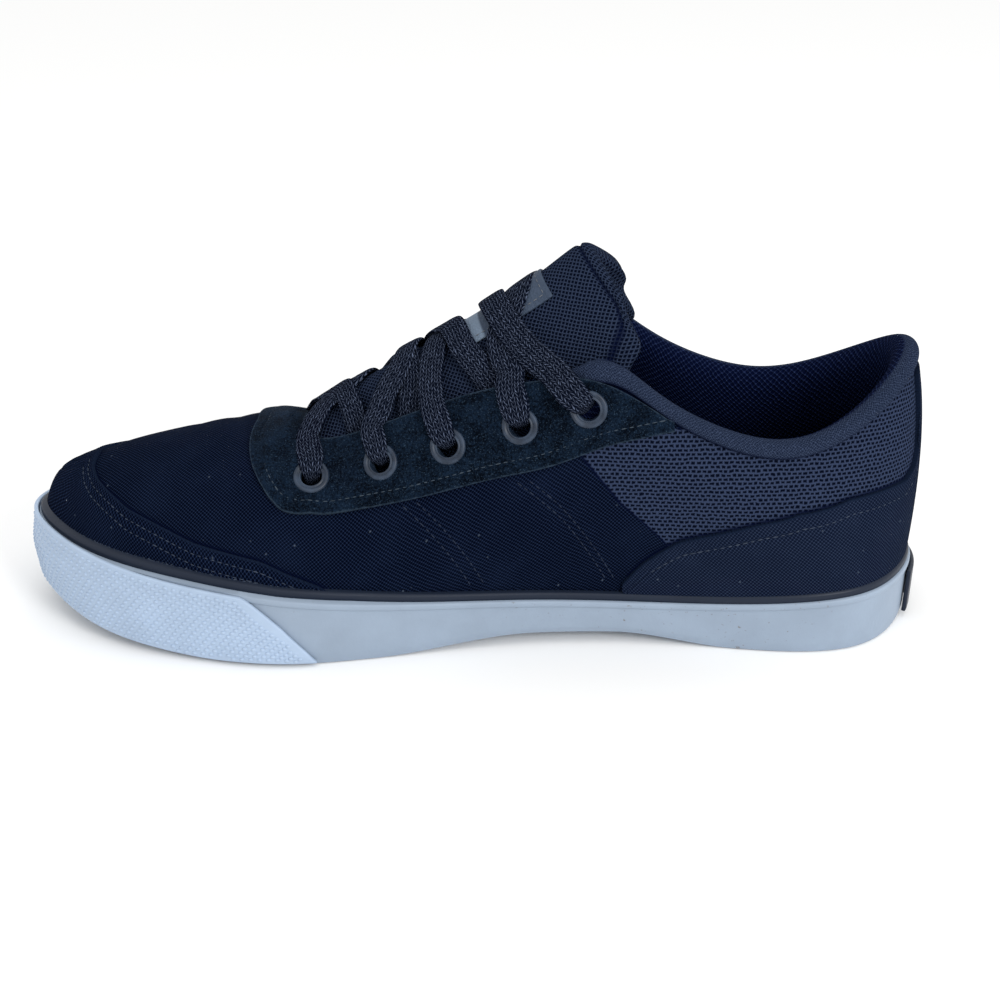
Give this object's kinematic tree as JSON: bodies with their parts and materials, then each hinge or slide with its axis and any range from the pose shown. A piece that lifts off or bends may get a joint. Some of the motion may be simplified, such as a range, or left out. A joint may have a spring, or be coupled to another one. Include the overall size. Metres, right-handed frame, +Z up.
{
  "type": "sneaker",
  "caption": "Low black canvas and suede skate sneaker for the right foot, with white rubber side wall, dimpled toe strip, padded collar, tongue and criss-cross flat lace.",
  "frame": {"origin": "on the floor under the middle of the bounding box", "axes": "-X points to the toe and +X to the heel, -Y to the inner (medial) side, +Y to the outer side, +Z up"},
  "size_m": [0.2809, 0.1032, 0.1165],
  "materials": {
    "white_rubber": "matt white rubber with a bluish cast",
    "black_rubber": "satin black rubber",
    "canvas": "near-black plain-weave canvas",
    "suede": "black suede with a short nap",
    "lining": "dark knitted lining",
    "label": "dark grey patch with a stitched border",
    "eyelet_metal": "dark gloss enamel",
    "lace": "flat woven charcoal lace"
  },
  "bodies": {
    "root": {"outsole": "white_rubber", "insole": "lining", "foxing": "white_rubber", "foxing_stripe": "black_rubber", "toe_bumper": "white_rubber", "heel_badge": "black_rubber", "upper": "canvas", "toe_guard": "canvas", "heel_counter": "canvas", "eyestay": "suede", "collar": "lining", "tongue": "canvas", "tongue_label": "label", "eyelet_medial_1": "eyelet_metal", "eyelet_medial_2": "eyelet_metal", "eyelet_medial_3": "eyelet_metal", "eyelet_medial_4": "eyelet_metal", "eyelet_medial_5": "eyelet_metal", "eyelet_lateral_1": "eyelet_metal", "eyelet_lateral_2": "eyelet_metal", "eyelet_lateral_3": "eyelet_metal", "eyelet_lateral_4": "eyelet_metal", "eyelet_lateral_5": "eyelet_metal", "lace_cross_1": "lace", "lace_cross_2": "lace", "lace_cross_3": "lace", "lace_cross_4": "lace"}
  },
  "joints": []
}
